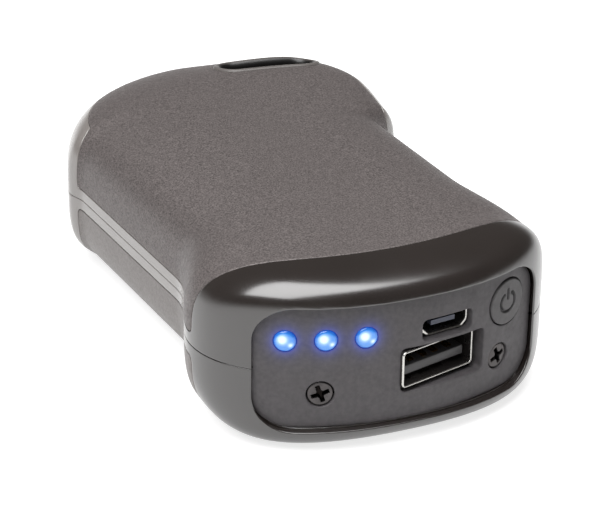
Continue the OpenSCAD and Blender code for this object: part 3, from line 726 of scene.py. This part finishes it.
# painted light: a blue glow on the panel, falling off from the edge of each LED hole
ledSpillAt = sum(np.exp(-np.maximum(values, 0) / panel["ledSpillReach"]) for values in holes[:len(ledArcs)])
addField(face, "glow", ledSpillAt, even=False)
face = bendToPanel(trimmed(face, panelEdges, panel["cutSteps"]))
endPanel = makePiece("endPanelVisual", *thicken(face, panel["thick"]), looks["panel"])
panelLedSpill = column(face, "glow")
markVertices(endPanel, "paintedLedSpill", np.r_[panelLedSpill, panelLedSpill * 0])
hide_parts("end_panel")
print("panel:", len(face["tris"]), "triangles")


def reliefDisc(item, arc, radius, heightOf):
    # round part whose outside is a height field over the panel
    disc = patchSheet(radius + item["step"], radius + item["step"], item["step"])
    addField(disc, "edge", radius - np.hypot(disc["cols"][:, 0], disc["cols"][:, 2]), even=False)
    disc = trimmed(disc, [("edge", 0.0, item["edgeR"])])
    outside = disc["cols"][:, :3]
    outside[:, 1] -= heightOf(outside[:, 0], outside[:, 2])
    under = outside.copy()
    under[:, 1] = item["back"]
    points, faces = closeSheet(outside, under, disc["tris"])
    return onPanel(arc + points[:, 0], item["z"] + points[:, 2], points[:, 1]), faces


# cross-recess screws
def crossShare(u, v):
    # 1 inside the cross recess, 0 beside it
    c, s = math.cos(screws["turn"]), math.sin(screws["turn"])
    a, b = np.abs(u * c + v * s), np.abs(-u * s + v * c)
    arms = np.minimum(np.maximum(a - screws["reach"], b - screws["arm"]),
                      np.maximum(b - screws["reach"], a - screws["arm"]))
    core = np.hypot(u, v) - screws["core"]
    return ease(np.clip(-np.minimum(arms, core * screws["coreSlope"]) / screws["slope"], 0, 1))


def screwHeight(u, v):
    # low domed head
    dome = screws["crown"] * (1 - (u ** 2 + v ** 2) / screws["headR"] ** 2)
    return dome - screws["deep"] * crossShare(u, v)


screwParts = []
for arc in screws["places"]:
    points, faces = reliefDisc(screws, arc, screws["headR"], screwHeight)
    screwParts.append((points + (onPanel(arc, 0, screws["set"]) - onPanel(arc, 0, 0)), faces))
screwPiece = makePiece("panelScrewsVisual", *joinParts(screwParts), looks["screw"], sharp=30)
arcOf, upOf, deepOf = panelPlace(vertexPlaces(screwPiece))
# painted shade: the cross recess is coloured near-black on the heads' front faces
crossPaintedShade = sum(crossShare(arcOf - arc, upOf - screws["z"]) for arc in screws["places"])
markVertices(screwPiece, "paintedShadeAndDarkMark", np.clip(crossPaintedShade * (deepOf < screws["darkenDeep"]) * screws["recessShadeGain"], 0, 1))
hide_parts("panel_screws")


# power button
def markShare(u, v):
    # 1 inside the on and off mark, 0 beside it
    gapTurn = math.radians(button["markGap"])
    inRing = np.abs(np.degrees(np.arctan2(u, v))) > button["markGap"]
    ring = np.where(inRing, np.abs(np.hypot(u, v) - button["markR"]), farAway)
    ends = np.hypot(np.abs(u) - button["markR"] * math.sin(gapTurn), v - button["markR"] * math.cos(gapTurn))
    bar = np.hypot(u, np.clip(v, *button["markBar"]) - v)
    mark = np.minimum(np.minimum(ring, ends), bar)
    return ease((button["markHalf"] + button["markSoft"] - mark) / button["markSlope"])


def buttonHeight(u, v):
    return button["proud"] - button["markDeep"] * markShare(u, v)


buttonPiece = makePiece("powerButtonVisual", *reliefDisc(button, button["x"], button["radius"], buttonHeight),
                        looks["button"], bodyName="button", sharp=40)
arcOf, upOf, deepOf = panelPlace(vertexPlaces(buttonPiece))
buttonDarkMark = np.where(deepOf < button["darkenDeep"], markShare(arcOf - button["x"], upOf - button["z"]), 0)
markVertices(buttonPiece, "paintedShadeAndDarkMark", buttonDarkMark)
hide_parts("power_button")


# indicators
def addLedLightAndHighlights(mat, mark):
    # light through the lens: blue body, with painted highlights as pale spots on it
    nodes, links = mat.node_tree.nodes, mat.node_tree.links
    shader = nodes["Principled BSDF"]
    source = nodes.new("ShaderNodeAttribute")
    source.attribute_name = mark
    ramp = nodes.new("ShaderNodeValToRGB")
    stops = ramp.color_ramp.elements
    stops[0].position, stops[0].color = 0.0, leds["rimLight"]
    stops[1].position, stops[1].color = leds["paintedHighlightAt"], leds["paintedHighlightColour"]
    stops.new(leds["bodyAt"]).color = leds["bodyLight"]
    power = nodes.new("ShaderNodeMapRange")
    power.inputs["To Min"].default_value, power.inputs["To Max"].default_value = leds["low"], leds["high"]
    links.new(source.outputs["Fac"], ramp.inputs["Fac"])
    links.new(source.outputs["Fac"], power.inputs["Value"])
    links.new(ramp.outputs["Color"], shader.inputs["Emission Color"])
    links.new(power.outputs["Result"], shader.inputs["Emission Strength"])


def ringLoop(radius, deep, arc, z, count=64):
    turn = np.linspace(0, 2 * math.pi, count, endpoint=False)
    return onPanel(arc + radius * np.cos(turn), z + radius * np.sin(turn), deep)


addLedLightAndHighlights(looks["led"], "ledLightAndPaintedHighlights")
lens = [(leds["radius"], leds["back"]), (leds["radius"], leds["seat"])]  # radius and depth of each ring
for turn in np.linspace(0, math.pi / 2, leds["rows"] + 1)[1:-1]:
    lens.append((leds["radius"] * math.cos(turn),
                 leds["seat"] - (leds["proud"] + leds["seat"]) * math.sin(turn)))
lens.append((leds["tipR"], -leds["proud"]))
for i, arc in enumerate(ledArcs):
    points, faces = sweepRings([ringLoop(radius, deep, arc, leds["z"]) for radius, deep in lens],
                               capFirst=True, capLast=True)
    lensPiece = makePiece("ledLens%d" % (i + 1), points, [f[::-1] for f in faces], looks["led"])
    u, v = panelPlace(points)[0] - arc, points[:, 2] - leds["z"]
    light = leds["core"] * (1 - ease((np.hypot(u, v) - leds["coreR"]) / leds["coreSoft"]))
    # painted highlights, added into the lens's own light
    for strength, atU, atV, spread in leds["paintedHighlights"]:
        light += strength * np.exp(-((u - atU) ** 2 + (v - atV) ** 2) / spread)
    markVertices(lensPiece, "ledLightAndPaintedHighlights", np.clip(light, 0, 1))
    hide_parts(leds["nodes"][i])


# ports
def portAxes(port, turn):
    # middle of the mouth, direction along it, direction into it
    along = np.array([math.cos(turn), math.sin(turn), 0])
    inward = np.array([-math.sin(turn), math.cos(turn), 0])
    return onPanel(port["x"], port["z"]) + inward * port["set"], along, inward


def portRing(axes, loop, deep):
    mouth, along, inward = axes
    return mouth + loop[:, :1] * along + deep * inward + loop[:, 1:] * upward


def boxLoop(halfX, halfZ, corner, count=8):
    pts = []
    for sx, sz, start in ((1, 1, 0), (-1, 1, 90), (-1, -1, 180), (1, -1, 270)):
        for k in range(count + 1):
            a = math.radians(start + 90 * k / count)
            pts.append((sx * (halfX - corner) + corner * math.cos(a),
                        sz * (halfZ - corner) + corner * math.sin(a)))
    return np.array(pts)


def darkInside(piece, axes, port):
    # painted shade: a darker metal look on every face further in than shadeFrom
    piece.data.materials.append(looks["shade"])
    home, inward = Vector(toFrame(axes[0]).tolist()), Vector(axes[2].tolist())
    for polygon in piece.data.polygons:
        if (polygon.center - home).dot(inward) > port["shadeFrom"] / 1000:
            polygon.material_index = 1


def strip(mids, across, toBack):
    # a bent leaf, from its middle line, half width and thickness
    rows = [[mid - across, mid + across, mid + across + toBack, mid - across + toBack] for mid in mids]
    return sweepRings(rows, capFirst=True, capLast=True)


# USB output: rolled metal shell with a rounded mouth and spring leaves inside
usbAxes = portAxes(usb, math.radians(usb["turn"]))
usbFace, usbAlong, usbIn = usbAxes


def usbRing(inset, deep):
    corner = max(usb["corner"] - inset, usb["innerCorner"])
    return portRing(usbAxes, boxLoop(usb["wide"] / 2 - inset, usb["tall"] / 2 - inset, corner), deep)


def springTab(center, across, outward, deepFrom, deepTo, half, bulge):
    mids = []
    for t in np.linspace(0, 1, usb["tabRows"]):
        push = bulge * math.sin(math.pi * min(t * usb["tabPeak"], 1)) + usb["tabLift"]
        mids.append(center + usbIn * (deepFrom + (deepTo - deepFrom) * t) - outward * push)
    return strip(mids, across * half, outward * usb["tabThick"])


usbProfile = [(0, usb["deep"]), (0, 0.2), (0.04, 0.07), (0.12, 0.0), (usb["wall"] - 0.1, 0.0),
              (usb["wall"] - 0.03, 0.06), (usb["wall"], 0.16), (usb["wall"], usb["deep"])]
usbParts = [sweepRings([usbRing(inset, deep) for inset, deep in usbProfile], closed=True)]
for off in (-usb["tabX"], usb["tabX"]):
    for side in (1, -1):
        center = usbFace + usbAlong * off + upward * side * (usb["tall"] / 2 - usb["wall"])
        usbParts.append(springTab(center, usbAlong, upward * side, *usb["flatTab"]))
for side in (1, -1):
    center = usbFace + usbAlong * side * (usb["wide"] / 2 - usb["wall"])
    usbParts.append(springTab(center, upward, usbAlong * side, *usb["sideTab"]))
usbPiece = makePiece("usbOutputShell", *joinParts(usbParts), looks["connector"], sharp=40)
darkInside(usbPiece, usbAxes, usb)
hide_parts("usb_a_shell")


def tongueRing(deep, inset):
    loop = boxLoop(usb["tongueHalfX"] - inset, usb["tongueHalfZ"] - inset,
                   usb["tongueCorner"], usb["cornerSteps"])
    return portRing(usbAxes, loop + [0, usb["tongueZ"]], deep)


backLoop = boxLoop(usb["wide"] / 2 - usb["wall"], usb["tall"] / 2 - usb["wall"], usb["backCorner"],
                   usb["cornerSteps"])
tongueRuns = ([tongueRing(deep, inset) for deep, inset in usb["tongueEnds"]],
              [portRing(usbAxes, backLoop, deep) for deep in usb["back"]])
tongueParts = [sweepRings(run, capFirst=True, capLast=True) for run in tongueRuns]
tongue = makePiece("usbOutputTongue", *joinParts(tongueParts), looks["socket"])
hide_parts("usb_a_tongue")

contactParts = []
for off in usb["contactX"]:
    mids = [usbFace + usbAlong * off + usbIn * deep + upward * (usb["tongueZ"] + usb["tongueHalfZ"] + rise)
            for deep, rise in usb["contactRun"]]
    contactParts.append(strip(mids, usbAlong * usb["contactHalf"], upward * -usb["contactThick"]))
contacts = makePiece("usbOutputContacts", *joinParts(contactParts), looks["gold"], sharp=40)
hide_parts("usb_a_contacts")


# micro USB input: flared shell with chamfered lower corners
def microLoop(inset, count=5):
    hx, hz, cut = micro["wide"] / 2 - inset, micro["tall"] / 2 - inset, micro["chamfer"]
    corners = [(hx, hz), (-hx, hz), (-hx, -hz + cut), (-hx + cut, -hz), (hx - cut, -hz), (hx, -hz + cut)]
    pts, size = [], len(corners)
    for k in range(size):
        here, before, after = (np.array(corners[(k + j) % size], float) for j in (0, -1, 1))
        p0 = here + unit(before - here) * micro["cornerR"]
        p1 = here + unit(after - here) * micro["cornerR"]
        for t in np.linspace(0, 1, count + 1):
            pts.append((1 - t) ** 2 * p0 + 2 * t * (1 - t) * here + t ** 2 * p1)
    return np.array(pts)


microAxes = portAxes(micro, micro["x"] / panel["radius"])
microProfile = [(0, micro["deep"]), (0, 0.5), (-0.1, 0.1), (-0.08, 0.02), (0.05, -0.02), (0.16, 0.06),
                (micro["wall"], 0.5), (micro["wall"], micro["deep"])]
microRings = [portRing(microAxes, microLoop(inset), deep) for inset, deep in microProfile]
microPiece = makePiece("microInputShell", *sweepRings(microRings, closed=True), looks["connector"], sharp=40)
darkInside(microPiece, microAxes, micro)
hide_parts("micro_usb_shell")
print("panel fittings made")

# floor, light and camera
studio = dict(low=(0.74, 0.73, 0.725, 1), high=(0.09, 0.085, 0.08, 1), lowAt=0.0, highAt=0.15,
              plain=(0.24, 0.237, 0.233, 1), floorColor=(0.5, 0.5, 0.5, 1), floorGlow=0.74, floorHalf=3.0)
keyLight = dict(place=(-0.12, -0.1, 0.47), aim=(-0.01, -0.04, 0.02), size=(0.44, 0.62), power=5.2)
camera = dict(
    place=(-127.7948, -251.01329, 152.13453), focal=2300, imageW=600, sensorW=36, near=0.01, far=20,
    right=(0.91821013, -0.39592247, 0.01164326), down=(-0.16232612, -0.40294938, -0.90071196),
    ahead=(0.36130374, 0.82515283, -0.43426076))
white = (1, 1, 1, 1)
scene = bpy.context.scene
scene.view_settings.view_transform = "Standard"

half = studio["floorHalf"]
floorMesh = bpy.data.meshes.new("studioFloor")
corners = [(-half, -half, 0), (half, -half, 0), (half, half, 0), (-half, half, 0)]
floorMesh.from_pydata(corners, [], [(0, 1, 2, 3)])
floor = bpy.data.objects.new("studioFloor", floorMesh)
scene.collection.objects.link(floor)
floorLook = bpy.data.materials.new("floorWhite")
floorLook.use_nodes = True
nodes, links = floorLook.node_tree.nodes, floorLook.node_tree.links
nodes.clear()
paint = nodes.new("ShaderNodeBsdfDiffuse")
paint.inputs["Color"].default_value = studio["floorColor"]
glow = nodes.new("ShaderNodeEmission")
glow.inputs["Color"].default_value = white
rays = nodes.new("ShaderNodeLightPath")
seen = mathNode(nodes, links, "MAXIMUM", rays.outputs["Is Camera Ray"], rays.outputs["Is Glossy Ray"])
seen = mathNode(nodes, links, "MAXIMUM", seen, rays.outputs["Is Transmission Ray"])
links.new(mathNode(nodes, links, "MULTIPLY", seen, studio["floorGlow"]), glow.inputs["Strength"])
both = nodes.new("ShaderNodeAddShader")
links.new(paint.outputs["BSDF"], both.inputs[0])
links.new(glow.outputs["Emission"], both.inputs[1])
out = nodes.new("ShaderNodeOutputMaterial")
links.new(both.outputs["Shader"], out.inputs["Surface"])
floorMesh.materials.append(floorLook)

# white to the camera, a dark sky over a pale horizon in reflections, a plain tone for the rest
world = bpy.data.worlds.new("softStudio")
world.use_nodes = True
nodes, links = world.node_tree.nodes, world.node_tree.links
sky = nodes["Background"]
sky.inputs["Color"].default_value = studio["plain"]
mirrorSky = nodes.new("ShaderNodeBackground")
toward = nodes.new("ShaderNodeTexCoord")
split = nodes.new("ShaderNodeSeparateXYZ")
fade = nodes.new("ShaderNodeValToRGB")
fade.color_ramp.interpolation = "EASE"
for stop, at, tone in zip(fade.color_ramp.elements, (studio["lowAt"], studio["highAt"]),
                          (studio["low"], studio["high"])):
    stop.position, stop.color = at, tone
links.new(toward.outputs["Generated"], split.inputs["Vector"])
links.new(split.outputs["Z"], fade.inputs["Fac"])
links.new(fade.outputs["Color"], mirrorSky.inputs["Color"])
rays = nodes.new("ShaderNodeLightPath")
choice = nodes.new("ShaderNodeMixShader")
glossy, through = rays.outputs["Is Glossy Ray"], rays.outputs["Is Transmission Ray"]
mirrorRay = mathNode(nodes, links, "MAXIMUM", glossy, through)
links.new(mirrorRay, choice.inputs["Fac"])
links.new(sky.outputs["Background"], choice.inputs[1])
links.new(mirrorSky.outputs["Background"], choice.inputs[2])
whiteSky = nodes.new("ShaderNodeBackground")
whiteSky.inputs["Color"].default_value = white
top = nodes.new("ShaderNodeMixShader")
links.new(rays.outputs["Is Camera Ray"], top.inputs["Fac"])
links.new(choice.outputs["Shader"], top.inputs[1])
links.new(whiteSky.outputs["Background"], top.inputs[2])
links.new(top.outputs["Shader"], nodes["World Output"].inputs["Surface"])
scene.world = world

light = bpy.data.lights.new("keyOverhead", "AREA")
light.shape = "RECTANGLE"
light.size, light.size_y = keyLight["size"]
light.energy = keyLight["power"]
lamp = bpy.data.objects.new("keyOverhead", light)
lamp.location = keyLight["place"]
lampLine = Vector(keyLight["aim"]) - Vector(keyLight["place"])
lamp.rotation_euler = lampLine.to_track_quat("-Z", "Y").to_euler()
lamp.visible_camera = False
scene.collection.objects.link(lamp)

cam = bpy.data.cameras.new("photoCamera")
cam.sensor_width = camera["sensorW"]
cam.lens = camera["focal"] * camera["sensorW"] / camera["imageW"]
cam.clip_start, cam.clip_end = camera["near"], camera["far"]
view = bpy.data.objects.new("photoCamera", cam)
axes = Matrix((camera["right"], [-v for v in camera["down"]], [-v for v in camera["ahead"]])).transposed()
view.matrix_world = Matrix.Translation(toFrame(camera["place"]).tolist()) @ axes.to_4x4()
scene.collection.objects.link(view)
scene.camera = view
print("floor, light and camera set")
